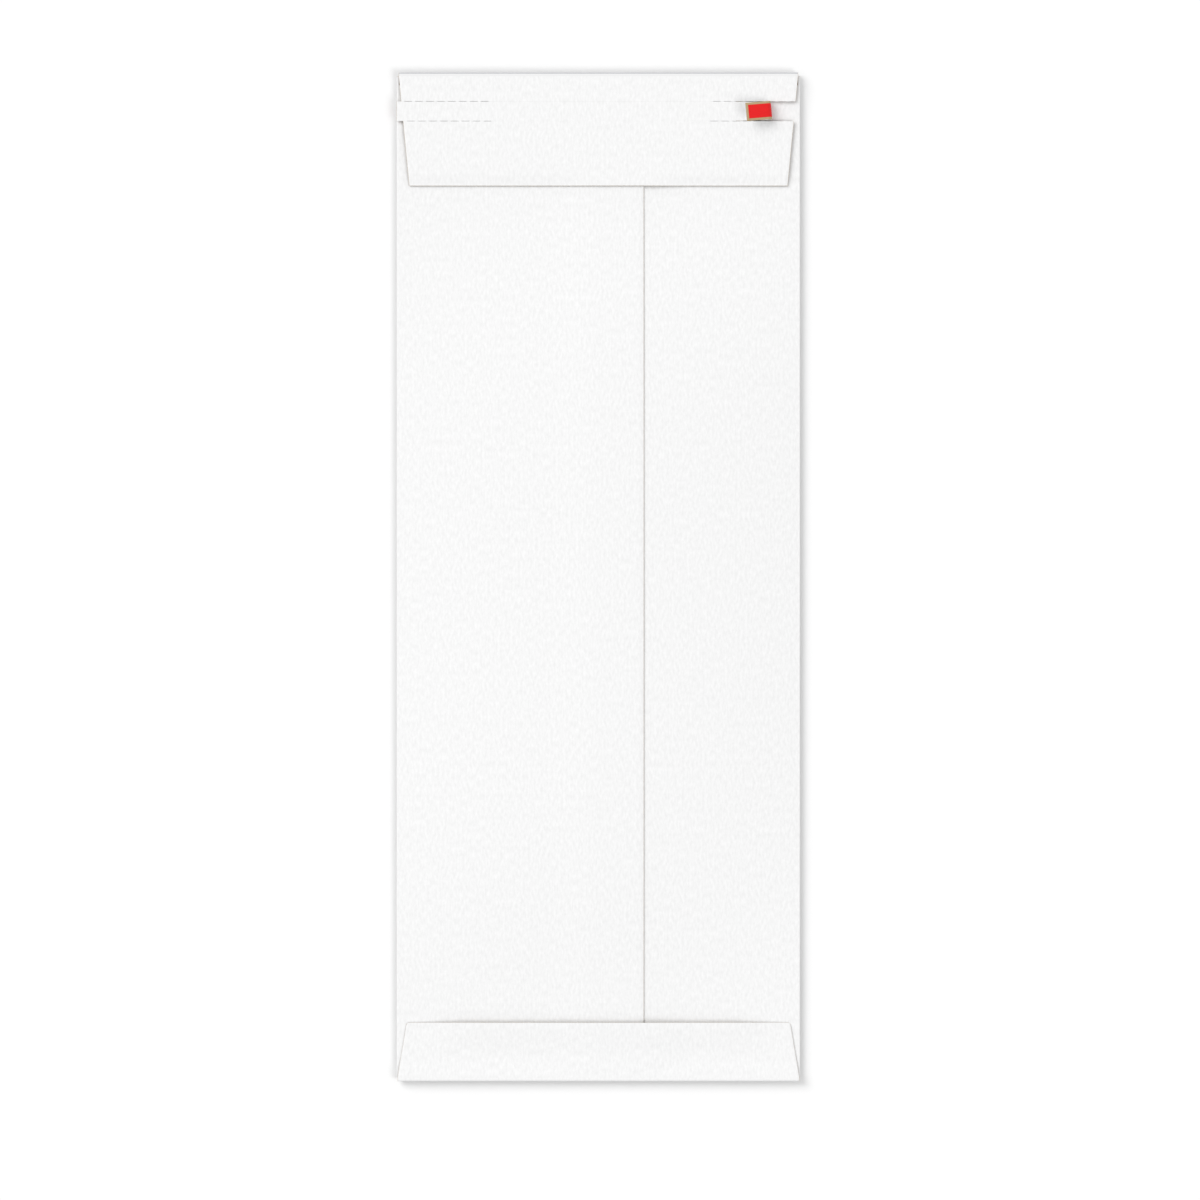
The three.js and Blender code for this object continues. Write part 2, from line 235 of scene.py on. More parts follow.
class EnvelopeTab(bpy.types.PropertyGroup):
    turn: degrees("Turn", "How far the folded tab is turned on the strip", 5.5)
    rise: degrees("Rise", "How far the folded tab stands up from the strip", 11)
    length: length("Length", "Length of the tab from its fold to its free end", 8.5 * MM)
    width: length("Width", "Width of the tab", 7.2 * MM)
    tape_margin: length("Tape margin", "Bare board between the tape and the tab's free end", 1 * MM)
    strip_bend: length("Strip bend", "Half of the stretch where the strip bends at a hinge", 6.5 * MM)


class EnvelopeColours(bpy.types.PropertyGroup):
    coating: colour("Coating", "White clay coat on the outside", "#E4E4E4")
    coating_shade: colour("Coating shade", "Where the fibre shows through the coat", "#DADADA")
    inside: colour("Inside", "Uncoated back of the board, inside the envelope", "#AF9872")
    inside_fleck: colour("Inside fleck", "Darker fibre in the uncoated back", "#A08B6C")
    core: colour("Core", "Cut edge of the board", "#B4B5B8")
    tape: colour("Tape", "Tear tape", "#DA090B")
    tape_shade: colour("Tape shade", "Drawn streaks in the tear tape", "#C80709")
    glue: colour("Glue", "Dried glue", "#D9D2BE")
    liner: colour("Liner", "Release liner", "#E3DED0")
    floor: colour("Floor", "Studio floor", "#E7E7E7")


def settings():
    return bpy.context.scene.envelope_board


def clamp01(value):
    return min(1.0, max(0.0, value))


def smooth01(value):
    t = clamp01(value)
    return t * t * (3 - 2 * t)


def lerp(a, b, t):
    return a + (b - a) * t


def spread(start, end, count):
    """Values from start to end in equal steps."""
    return [start + (end - start) * i / count for i in range(count + 1)]


def add_node(tree, kind, links=None, **values):
    """Adds a node, sets its properties and inputs by name, and links other nodes' sockets into it."""
    node = tree.nodes.new(kind)
    for name, value in values.items():
        if name in node.inputs:
            node.inputs[name].default_value = value
        else:
            setattr(node, name, value)
    for name, socket in (links or {}).items():
        tree.links.new(socket, node.inputs[name])
    return node


def new_material(name, **shader_values):
    """A material and its shader, whose even values are set on the shader's own sockets."""
    material = bpy.data.materials.new(name)
    material.use_nodes = True
    shader = material.node_tree.nodes["Principled BSDF"]
    for socket, value in shader_values.items():
        shader.inputs[socket].default_value = value
    return material, material.node_tree, shader


class Grain(NamedTuple):
    """A surface pattern: one mark's size across and along the blank, the noise's detail and roughness,
    where it leaves the first tone and reaches the second, and the height and force of its relief."""

    mark_mm: tuple
    noise: tuple
    tones: tuple
    relief_mm: float
    force: float


# Single fibres, 0.03 mm wide, are too fine to show, so the coat, inside and core show clumps of them.
COAT_MOTTLE = Grain(mark_mm=(1.0, 2.6), noise=(2.5, 0.62), tones=(0.3, 0.7), relief_mm=0.01, force=0.5)
# Cracks in the crease's coat: partly crazing, partly painted shade along the fold's turn.
CRACK_AND_SHADE = Grain(mark_mm=(1.8, 0.09), noise=(3.0, 0.6), tones=(0.2, 0.5), relief_mm=0.02, force=0.5)
INSIDE_FIBRE = Grain(mark_mm=(0.35, 1.4), noise=(4.0, 0.65), tones=(0.35, 0.7), relief_mm=0.03, force=0.6)
CORE_LAYER = Grain(mark_mm=(2.5, 0.09), noise=(2.0, 0.6), tones=(0.3, 0.7), relief_mm=0.02, force=0.6)
TAPE_STREAK = Grain(mark_mm=(2.2, 0.16), noise=(2.0, 0.5), tones=(0.35, 0.75), relief_mm=0.006, force=0.5)
GLUE_POOL = Grain(mark_mm=(2.4, 3.1), noise=(2.0, 0.5), tones=(0.3, 0.7), relief_mm=0.05, force=0.6)
LINER_CRINKLE = Grain(mark_mm=(9, 3), noise=(2.0, 0.5), tones=(0.3, 0.7), relief_mm=0.12, force=0.4)


def surface_pattern(tree, grain):
    """Noise on the flat blank's map, as it is and as a tone from 0 to 1."""
    flat = add_node(tree, "ShaderNodeUVMap", uv_map="flat").outputs["UV"]
    scale = (*[1 / (size * MM) for size in grain.mark_mm], 1)
    scaled = add_node(tree, "ShaderNodeMapping", {"Vector": flat}, Scale=scale).outputs["Vector"]
    detail, roughness = grain.noise
    values = {"Scale": 1.0, "Detail": detail, "Roughness": roughness}
    marks = add_node(tree, "ShaderNodeTexNoise", {"Vector": scaled}, **values).outputs["Fac"]
    start, end = grain.tones
    values = {"From Min": start, "From Max": end}
    tone = add_node(tree, "ShaderNodeMapRange", {"Value": marks}, **values).outputs["Result"]
    return marks, tone


def paint(tree, shader, grain, marks, tone, first, second):
    """Colours the surface from first to second as tone goes from 0 to 1, and raises its marks."""
    mix = add_node(tree, "ShaderNodeMix", {"Factor": tone}, data_type="RGBA")
    ends = [socket for socket in mix.inputs if socket.type == "RGBA"]
    for socket, end in zip(ends, (first, second)):
        socket.default_value = (*end, 1)
    mixed = next(socket for socket in mix.outputs if socket.type == "RGBA")
    tree.links.new(mixed, shader.inputs["Base Color"])
    values = {"Distance": grain.relief_mm * MM, "Strength": grain.force}
    bump = add_node(tree, "ShaderNodeBump", {"Height": marks}, **values)
    tree.links.new(bump.outputs["Normal"], shader.inputs["Normal"])


# The coat is calendered only lightly: it hardly glares, even when seen from a low angle.
MATT_COAT = {"Roughness": 0.64, "IOR": 1.46, "Specular IOR Level": 0.15}


def coated_board():
    """White clay-coated chipboard, blade coated and calendered: fibre lies along the blank and
    shows as faint upright mottle through a soft, low sheen."""
    colours = settings().colours
    material, tree, shader = new_material("clay_coated_board", **MATT_COAT)
    fibre, mottle = surface_pattern(tree, COAT_MOTTLE)
    paint(tree, shader, COAT_MOTTLE, fibre, mottle, colours.coating_shade, colours.coating)
    return material


def crease_cracks_and_painted_shade():
    """Clay-coated board at the crease that is closed last, by hand: where it turns tightest, on two
    lines along the fold, fine cracks in the coat show grey fibre; they are partly crazing and partly
    painted shade, a dark line along the fold's turn."""
    colours = settings().colours
    material, tree, shader = new_material("crease_board_cracks_painted_shade", **MATT_COAT)
    flat = add_node(tree, "ShaderNodeUVMap", uv_map="flat")
    across = add_node(tree, "ShaderNodeSeparateXYZ", {"Vector": flat.outputs["UV"]}).outputs["Y"]
    quarter = CREASE_OUTER * math.pi / 2
    from_middle = add_node(tree, "ShaderNodeMath", {0: across}, operation="SUBTRACT")
    from_middle.inputs[1].default_value = CREASE_Y + quarter
    reach = add_node(tree, "ShaderNodeMath", {0: from_middle.outputs[0]}, operation="ABSOLUTE")
    tightest = add_node(tree, "ShaderNodeMath", {0: reach.outputs[0]}, operation="COMPARE")
    tightest.inputs[1].default_value = CREASE_SHADE_PLACE * quarter
    tightest.inputs[2].default_value = CREASE_SHADE_HALF * quarter
    cracked = surface_pattern(tree, CRACK_AND_SHADE)[1]
    links = {0: tightest.outputs[0], 1: cracked}
    # Painted shade: the cracks darken the crease's coat on two lines along its turn.
    cracks_and_shade = add_node(tree, "ShaderNodeMath", links, operation="MULTIPLY").outputs[0]
    paint(tree, shader, CRACK_AND_SHADE, cracks_and_shade, cracks_and_shade, colours.coating_shade, colours.core)
    return material


def board_inside():
    """Uncoated grey-brown chipboard, as it came off the machine: matt, with short darker fibres."""
    colours = settings().colours
    material, tree, shader = new_material("uncoated_board", **{"Roughness": 0.9, "IOR": 1.45})
    fibre, fleck = surface_pattern(tree, INSIDE_FIBRE)
    paint(tree, shader, INSIDE_FIBRE, fibre, fleck, colours.inside, colours.inside_fleck)
    return material


def board_core():
    """The die-cut edge of layered chipboard: pressed fibre in fine layers along the edge, dull."""
    colours = settings().colours
    material, tree, shader = new_material("cut_board_edge", **{"Roughness": 0.85, "IOR": 1.45})
    layers, tone = surface_pattern(tree, CORE_LAYER)
    paint(tree, shader, CORE_LAYER, layers, tone, colours.coating_shade, colours.core)
    return material


def tear_tape():
    """Red polypropylene tear tape, drawn lengthways: a satin film with fine streaks along it."""
    colours = settings().colours
    satin = {"Roughness": 0.5, "IOR": 1.49, "Specular IOR Level": 0.3}
    material, tree, shader = new_material("polypropylene_tear_tape", **satin)
    streaks, tone = surface_pattern(tree, TAPE_STREAK)
    paint(tree, shader, TAPE_STREAK, streaks, tone, colours.tape, colours.tape_shade)
    return material


def dried_glue():
    """Dispersion glue, rolled on and dried: a clear cream film with soft pooling."""
    colours = settings().colours
    material, tree, shader = new_material("dried_dispersion_glue", **{"Roughness": 0.3, "IOR": 1.48})
    pools, tone = surface_pattern(tree, GLUE_POOL)
    paint(tree, shader, GLUE_POOL, pools, tone, colours.glue, colours.liner)
    return material


def silicone_liner():
    """Siliconised glassine, supercalendered: thin, smooth, slightly yellow, with a fine crinkle."""
    colours = settings().colours
    material, tree, shader = new_material("siliconised_glassine", **{"Roughness": 0.33, "IOR": 1.45})
    crinkles, tone = surface_pattern(tree, LINER_CRINKLE)
    paint(tree, shader, LINER_CRINKLE, crinkles, tone, colours.liner, colours.coating)
    return material


def studio_floor():
    """Matt white paper backdrop, with no glare at all."""
    white = (*settings().colours.floor, 1)
    matt = {"Base Color": white, "Roughness": 0.95, "Specular IOR Level": 0}
    return new_material("matt_backdrop", **matt)[0]


MAKERS = {
    "coated": coated_board,
    "crease_cracks_shade": crease_cracks_and_painted_shade,
    "inside": board_inside,
    "core": board_core,
    "tape": tear_tape,
    "glue": dried_glue,
    "liner": silicone_liner,
}
made_materials = {}


def finish(name):
    """The finish of that name, made once."""
    if name not in made_materials:
        made_materials[name] = MAKERS[name]()
    return made_materials[name]


OUTSIDE_UP = ("inside", "coated", "core")
OUTSIDE_DOWN = ("coated", "inside", "core")
# The crease's top has cracks that carry painted shade along the fold's turn.
CREASED = ("inside", "crease_cracks_shade", "core")


def shade_smooth(mesh):
    """Smooth shading up to the sharp edges."""
    mesh.polygons.foreach_set("use_smooth", [True] * len(mesh.polygons))
    mesh.set_sharp_from_angle(angle=SHARP_ANGLE)


def add_to_scene(name, bm, materials):
    """An object from a bmesh, in the scene."""
    mesh = bpy.data.meshes.new(name)
    bm.to_mesh(mesh)
    bm.free()
    for material in materials:
        mesh.materials.append(material)
    obj = bpy.data.objects.new(name, mesh)
    bpy.context.scene.collection.objects.link(obj)
    return obj


def board_sheet(name, us, vs, place, finishes, cut=()):
    """A closed sheet over the grid us by vs. place(u, v) gives a point on its underside, the point
    above it and its spot on the flat blank. finishes are for the underside, the top and the edges.
    cut names the sides (first_u, last_u, first_v, last_v) whose edges the cutting rule rounds."""
    bm = bmesh.new()
    flat_layer = bm.loops.layers.uv.new("flat")
    points = [[place(u, v) for u in us] for v in vs]
    layers = [[[bm.verts.new(p[level]) for p in row] for row in points] for level in (0, 1)]
    spot = {}
    for level in (0, 1):
        for row_points, row_verts in zip(points, layers[level]):
            for point, vert in zip(row_points, row_verts):
                spot[vert] = (point[2], level * BOARD)
    last_u, last_v = len(us) - 1, len(vs) - 1
    for level in (0, 1):
        for j in range(last_v):
            for i in range(last_u):
                grid = layers[level]
                corners = [grid[j][i], grid[j][i + 1], grid[j + 1][i + 1], grid[j + 1][i]]
                face = bm.faces.new(corners if level else corners[::-1])
                face.material_index = level
                for loop in face.loops:
                    loop[flat_layer].uv = spot[loop.vert][0]
    sides = {
        "first_u": [(j, 0) for j in range(last_v + 1)],
        "last_u": [(j, last_u) for j in range(last_v + 1)],
        "first_v": [(0, i) for i in range(last_u + 1)],
        "last_v": [(last_v, i) for i in range(last_u + 1)],
    }
    rounded = set()
    for side, ring in sides.items():
        for (j0, i0), (j1, i1) in zip(ring, ring[1:]):
            lower, upper = layers
            face = bm.faces.new([lower[j0][i0], lower[j1][i1], upper[j1][i1], upper[j0][i0]])
            face.material_index = 2
            for loop in face.loops:
                (along, across), height = spot[loop.vert]
                loop[flat_layer].uv = (along + across, height)
            if side in cut:
                rounded.update([(lower[j0][i0], lower[j1][i1]), (upper[j0][i0], upper[j1][i1])])
    bmesh.ops.recalc_face_normals(bm, faces=bm.faces[:])
    edges = [edge for pair in rounded if (edge := bm.edges.get(pair))]
    if edges:
        edges.sort(key=lambda e: tuple(e.verts[0].co) + tuple(e.verts[1].co))
        bmesh.ops.bevel(
            bm,
            geom=edges,
            offset=settings().board.edge_round,
            offset_type="OFFSET",
            segments=2,
            profile=0.5,
            affect="EDGES",
            clamp_overlap=True,
        )
    sheet = add_to_scene(name, bm, [finish(kind) for kind in finishes])
    shade_smooth(sheet.data)
    return sheet


def bow(x, y):
    """Height of the empty pocket's bow over the flat lay of the back panels."""
    board = settings().board
    top, bottom = FLAP_EDGE_Y - board.bow_clear, BOTTOM_EDGE_Y + board.bow_clear
    along = 1 - min(1.0, abs((y - (top + bottom) / 2) / ((top - bottom) / 2))) ** 4
    return board.crown * (1 - (x / FOLD_X) ** 2) * along**2


def lap_start():
    board = settings().board
    return LAP_X - board.joggle_clear - board.joggle


def lap_lift(x):
    """How far the wide panel is lifted over the narrow one, from 0 to 1."""
    return smooth01((x - lap_start()) / settings().board.joggle)


def bottom_flap_height(x, y):
    """Underside of the bottom flap: it drapes over the lapped seam and comes down from its fold."""
    board = settings().board
    from_fold = smooth01(1 - (y - BOTTOM_Y) / board.settle)
    to_edge = smooth01((y - BOTTOM_EDGE_Y) / board.lift_strip + 1)
    sprung = board.lift * to_edge * smooth01((1 - abs(x) / board.lift_half) * LIFT_FADE)
    return BOTTOM_FLAP_Z + STEP * max(over_lap(x), from_fold) + sprung


def flap_half(y):
    """Half width of the tapered closure flap at y."""
    at_crease = high("flap_crease").x
    at_strip = high("flap_lower_band").x
    strip_y = high("flap_lower_band").y
    return lerp(at_crease, at_strip, (CREASE_Y - y) / (CREASE_Y - strip_y))


def over_lap(x):
    """How far a flap that drapes over the lapped seam is lifted by it, from 0 to 1."""
    joggle = settings().board.joggle
    return min(lap_lift(x), smooth01((SEAM_X + joggle - x) / joggle))


def swell(across, along, size, noise_slice):
    """Noise from -1 to 1, with size as the size of one swell across and along."""
    return noise(Vector((across / size[0], along / size[1], noise_slice)))


def flap_height(x, y):
    """Underside of the closure flap, whose free edge comes down towards the back panels."""
    board = settings().board
    lip = smooth01(1 - (y - FLAP_EDGE_Y) / board.flap_lip)
    drop = FLAP_Z - BACK_Z - BOARD - STEP * over_lap(x) - board.flap_gap
    wave = swell(x, y, FLAP_SWELL, FLAP_SLICE)
    return FLAP_Z + (board.ease * wave - drop) * lip


def bottom_half(y):
    """Half width of the tapered bottom flap at y, with its rounded corners."""
    board = settings().board
    at_fold = high("bottom_flap").x
    at_edge = HALF_WIDTH - board.bottom_inset
    half = lerp(at_fold, at_edge, (y - BOTTOM_Y) / (BOTTOM_EDGE_Y - BOTTOM_Y))
    into_corner = clamp01((y - BOTTOM_EDGE_Y) / board.bottom_corner + 1)
    return half - board.bottom_corner * (1 - math.sqrt(1 - into_corner**2))


def level_sheet(name, us, vs, height, finishes, thickness=BOARD, cut=()):
    """A sheet whose grid is x by y and whose underside follows height(x, y)."""

    def place(x, y):
        z = height(x, y)
        return (x, y, z), (x, y, z + thickness), (x, y)

    return board_sheet(name, us, vs, place, finishes, cut)


def tapered_sheet(name, vs, half, height, cut, columns=WIDTH_STEPS):
    """A sheet whose half width is half(y) and whose underside follows height(x, y)."""

    def place(share, y):
        x = share * half(y)
        z = height(x, y)
        return (x, y, z), (x, y, z + BOARD), (x, y)

    return board_sheet(name, spread(-1, 1, columns), vs, place, OUTSIDE_UP, cut)


def dress(obj, slot, body, *nodes):
    """Hides the nodes that a piece stands for and hangs it on the body that it rides on. slot is not used.
    """
    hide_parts(*nodes)
    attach(obj, body)


def dress_bend(obj, slot, bodies, start, end, *nodes):
    """Hides the nodes that a piece stands for and bakes its place into its mesh. slot and bodies are not
    used, and start and end change nothing.
    """
    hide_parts(*nodes)
    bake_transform(obj)
    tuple(start)
    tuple(end)


def fold_point(radius, angle):
    """Outward and upward reach of a creased board's turn, whose radius is squarer than a circle's."""
    power = 2 / settings().board.squareness
    out, up = abs(math.cos(angle)), math.sin(angle)
    return radius * out**power, radius * math.copysign(abs(up) ** power, up)


def fold_angles(turn=math.pi, steps=TURN_STEPS):
    return spread(-math.pi / 2, turn - math.pi / 2, steps)


def end_fold(name, way, start_y, outer, half, finishes):
    """The board's turn at the bottom (way is -1) or at the top (way is 1), which starts at start_y."""

    def place(share, angle):
        x = share * half
        reach = [fold_point(radius, angle) for radius in (outer - BOARD, outer)]
        points = [(x, start_y + way * out, outer + up) for out, up in reach]
        return *points, (x, start_y + way * outer * (angle + math.pi / 2))

    across = spread(-1, 1, WIDTH_STEPS)
    return board_sheet(name, across, fold_angles(), place, finishes, ("first_u", "last_u"))


class ENVELOPE_OT_panels(bpy.types.Operator):
    """Makes the front panel, the turns along both sides and the two back panels"""

    bl_idname = "envelope.panels"
    bl_label = "Panels and side folds"

    def execute(self, context):
        length_rows = spread(BOTTOM_Y, CREASE_Y, 80)
        front = level_sheet(
            "front_panel_board",
            spread(-FOLD_X, FOLD_X, PANEL_STEPS),
            length_rows,
            lambda x, y: 0.0,
            OUTSIDE_DOWN,
        )
        dress(front, "white_board", "envelope", "front_panel")
        for side, name in ((-1, "left_side_fold"), (1, "right_side_fold")):
            self.side_fold(side, name, length_rows)
        panel_rows = spread(PANEL_END_Y, THROAT_Y, ROW_STEPS)
        start = lap_start()
        level_columns = spread(-FOLD_X, start, 24)
        rising_columns = spread(start, LAP_X, 16)
        lapping_columns = spread(LAP_X, SEAM_X, 8)
        wide = level_sheet(
            "wide_back_board",
            [*level_columns, *rising_columns[1:], *lapping_columns[1:]],
            panel_rows,
            lambda x, y: BACK_Z + STEP * lap_lift(x) + bow(x, y),
            OUTSIDE_UP,
            cut=("last_u", "first_v", "last_v"),
        )
        dress(wide, "white_board", "envelope", "wide_back_panel")
        narrow = level_sheet(
            "narrow_back_board",
            spread(LAP_X, FOLD_X, PANEL_STEPS),
            panel_rows,
            lambda x, y: BACK_Z + bow(x, y),
            OUTSIDE_UP,
            cut=("first_u", "first_v", "last_v"),
        )
        dress(narrow, "white_board", "envelope", "narrow_back_panel")
        return {"FINISHED"}

    def side_fold(self, side, node, rows):
        inner = SIDE_OUTER - BOARD
        middle = (inner + SIDE_OUTER) / 2

        def place(angle, y):
            reach = [fold_point(radius, angle) for radius in (inner, SIDE_OUTER)]
            points = [(side * (FOLD_X + out), y, SIDE_OUTER + up) for out, up in reach]
            return *points, (side * (FOLD_X + middle * (angle + math.pi / 2)), y)

        cut = ("first_v", "last_v")
        fold = board_sheet(f"{node}_board", fold_angles(), rows, place, OUTSIDE_UP, cut)
        dress(fold, "white_board", "envelope", node)


class ENVELOPE_OT_seam_glue(bpy.types.Operator):
    """Makes the line of glue inside the lapped seam"""

    bl_idname = "envelope.seam_glue"
    bl_label = "Seam glue"

    def execute(self, context):
        lowest, highest = node_box("side_seam_glue")
        centre = (lowest.x + highest.x) / 2
        half = (highest.x - lowest.x) / 2
        film_gap = 0.02 * MM
        thickness = GLUE - 2 * film_gap
        most_wander = SEAM_WANDER * half

        def place(share, y):
            wander = most_wander * swell(share, y, SEAM_SWELL, SEAM_SLICE)
            x = centre + share * (half - most_wander) + wander
            z = BACK_Z + BOARD + film_gap + bow(x, y)
            return (x, y, z), (x, y, z + thickness), (x, y)

        rows = spread(lowest.y, highest.y, ROW_STEPS)
        glue = board_sheet("side_seam_glue_line", spread(-1, 1, 8), rows, place, ("glue",) * 3)
        dress(glue, "glue", "envelope", "side_seam_glue")
        return {"FINISHED"}


class ENVELOPE_OT_bottom_flap(bpy.types.Operator):
    """Makes the fold at the bottom edge, the bottom flap and the glue under it"""

    bl_idname = "envelope.bottom_flap"
    bl_label = "Bottom flap"

    def execute(self, context):
        half = high("bottom_fold").x
        fold = end_fold("bottom_fold_board", -1, BOTTOM_Y, BOTTOM_OUTER, half, OUTSIDE_UP)
        dress(fold, "white_board", "envelope", "bottom_fold")

        radius = settings().board.bottom_corner
        corner_start = BOTTOM_EDGE_Y - radius
        corner_rows = [corner_start + radius * math.sin(a) for a in spread(0, math.pi / 2, 6)]
        flap = tapered_sheet(
            "bottom_flap_board",
            [*spread(BOTTOM_Y, corner_start, 36), *corner_rows[1:]],
            bottom_half,
            bottom_flap_height,
            ("first_u", "last_u", "last_v"),
            columns=120,
        )
        dress(flap, "white_board", "envelope", "bottom_flap")
        for node in ("bottom_glue_left", "bottom_glue_right"):
            glue = glue_film(node, bottom_flap_height)
            dress(glue, "glue", "envelope", node)
        return {"FINISHED"}


def glue_film(node, top=None):
    """A film of dried glue in a node's box, with an uneven edge. top(x, y) is the board it holds."""
    lowest, highest = node_box(node)
    centre = (lowest + highest) / 2
    half = (highest - lowest) / 2

    def place(u, v):
        ragged = FILM_RAGGED * swell(u, v, FILM_SWELL, centre.x * FILM_SLICE)
        x = centre.x + u * (half.x - FILM_RAGGED + ragged)
        y = centre.y + v * (half.y - FILM_RAGGED + ragged)
        return (x, y, lowest.z), (x, y, top(x, y) if top else highest.z), (x, y)

    return board_sheet(f"{node}_film", spread(-1, 1, 24), spread(-1, 1, 12), place, ("glue",) * 3)


def perforating_tree():
    """Geometry nodes that cut a row of slits at each end of a line and finish the cut faces."""
    sizes = settings().perforation
    tree = bpy.data.node_groups.new("perforated_line", "GeometryNodeTree")
    sockets = (
        ("Board", "INPUT", "NodeSocketGeometry", None),
        ("Left start", "INPUT", "NodeSocketVector", None),
        ("Right start", "INPUT", "NodeSocketVector", None),
        ("Pitch", "INPUT", "NodeSocketFloat", sizes.pitch),
        ("Cuts", "INPUT", "NodeSocketInt", sizes.count),
        ("Slit size", "INPUT", "NodeSocketVector", None),
        ("Cut finish", "INPUT", "NodeSocketMaterial", None),
        ("Board", "OUTPUT", "NodeSocketGeometry", None),
    )
    for name, direction, kind, default in sockets:
        socket = tree.interface.new_socket(name=name, in_out=direction, socket_type=kind)
        if default is not None:
            socket.default_value = default
    given = add_node(tree, "NodeGroupInput").outputs
    backwards = add_node(tree, "ShaderNodeMath", {0: given["Pitch"]}, operation="MULTIPLY")
    backwards.inputs[1].default_value = -1.0
    slits = []
    for start, pitch in (("Left start", given["Pitch"]), ("Right start", backwards.outputs[0])):
        offset = add_node(tree, "ShaderNodeCombineXYZ", {"X": pitch})
        links = {"Count": given["Cuts"], "Start Location": given[start], "Offset": offset.outputs[0]}
        line = add_node(tree, "GeometryNodeMeshLine", links, mode="OFFSET")
        cutter = add_node(tree, "GeometryNodeMeshCube", {"Size": given["Slit size"]})
        links = {"Points": line.outputs["Mesh"], "Instance": cutter.outputs["Mesh"]}
        row = add_node(tree, "GeometryNodeInstanceOnPoints", links)
        links = {"Geometry": row.outputs["Instances"]}
        slits.append(add_node(tree, "GeometryNodeRealizeInstances", links))
    joined = add_node(tree, "GeometryNodeJoinGeometry")
    for row in reversed(slits):
        tree.links.new(row.outputs["Geometry"], joined.inputs["Geometry"])
    links = {"Mesh 1": given["Board"], "Mesh 2": joined.outputs["Geometry"]}
    cut = add_node(tree, "GeometryNodeMeshBoolean", links, operation="DIFFERENCE", solver="EXACT")
    real = add_node(tree, "GeometryNodeRealizeInstances", {"Geometry": cut.outputs["Mesh"]})
    normal = add_node(tree, "GeometryNodeInputNormal")
    parts = add_node(tree, "ShaderNodeSeparateXYZ", {0: normal.outputs["Normal"]})
    upright = add_node(tree, "ShaderNodeMath", {0: parts.outputs["Z"]}, operation="ABSOLUTE")
    links = {"A": upright.outputs[0]}
    cut_face = add_node(tree, "FunctionNodeCompare", links, operation="LESS_THAN", B=CUT_FACE_RISE)
    links = {
        "Geometry": real.outputs["Geometry"],
        "Selection": cut_face.outputs[0],
        "Material": given["Cut finish"],
    }
    dressed = add_node(tree, "GeometryNodeSetMaterial", links)
    add_node(tree, "NodeGroupOutput", {"Board": dressed.outputs["Geometry"]})
    return tree


def apply_tree(obj, tree, values):
    """Runs a geometry nodes tree on obj, with values by input name. Its result becomes obj's mesh."""
    modifier = obj.modifiers.new(tree.name, "NODES")
    modifier.node_group = tree
    for item in tree.interface.items_tree:
        if item.in_out == "INPUT" and item.name in values:
            modifier[item.identifier] = values[item.name]
    evaluated = obj.evaluated_get(bpy.context.evaluated_depsgraph_get())
    mesh = bpy.data.meshes.new_from_object(evaluated)
    obj.modifiers.remove(modifier)
    obj.data = mesh
    shade_smooth(mesh)


class ENVELOPE_OT_closure_flap(bpy.types.Operator):
    """Makes the closure flap's crease and its two bands, perforated along the tear strip"""

    bl_idname = "envelope.closure_flap"
    bl_label = "Closure flap"

    def execute(self, context):
        half = flap_half(CREASE_Y)
        crease = end_fold("flap_crease_board", 1, CREASE_Y, CREASE_OUTER, half, CREASED)
        start, end = (0, CREASE_Y, BOARD), (0, CREASE_Y, FLAP_Z)
        dress_bend(crease, "white_board", ("envelope", "closure_flap"), start, end, "flap_crease")

        tree = perforating_tree()
        lip_y = FLAP_EDGE_Y + settings().board.flap_lip
        upper_rows = spread(STRIP_HIGH_Y, CREASE_Y, 8)
        lower_rows = [*spread(FLAP_EDGE_Y, lip_y, 10), *spread(lip_y, STRIP_LOW_Y, 10)[1:]]
        sides = ("first_u", "last_u")
        bands = (
            ("flap_upper_band", upper_rows, sides, "upper", STRIP_HIGH_Y),
            ("flap_lower_band", lower_rows, (*sides, "first_v"), "lower", STRIP_LOW_Y),
        )
        for node, rows, cut, line, line_y in bands:
            band = tapered_sheet(f"{node}_board", rows, flap_half, flap_height, cut)
            apply_tree(band, tree, self.slits(line, line_y))
            dress(band, "white_board", "closure_flap", node)
        return {"FINISHED"}

    def slits(self, line, line_y):
        """The perforation's inputs for one line. A cutter reaches as far past it as into the band."""
        sizes = settings().perforation
        centre_z = FLAP_Z + BOARD / 2
        cutter_height = 4 * BOARD
        left = getattr(sizes, f"{line}_left") + sizes.cut / 2 - HALF_WIDTH
        right = HALF_WIDTH - getattr(sizes, f"{line}_right") - sizes.cut / 2
        return {
            "Left start": (left, line_y, centre_z),
            "Right start": (right, line_y, centre_z),
            "Pitch": sizes.pitch,
            "Cuts": sizes.count,
            "Slit size": (sizes.cut, 2 * sizes.slit, cutter_height),
            "Cut finish": finish("core"),
        }


def strip_borders():
    """Where one length of the tear strip ends and the next begins, midway between its hinges."""
    hinges = [*STRIP_JOINTS, TAB_HINGE.x]
    return [STRIP_START_X, *[(a + b) / 2 for a, b in zip(hinges, hinges[1:])]]


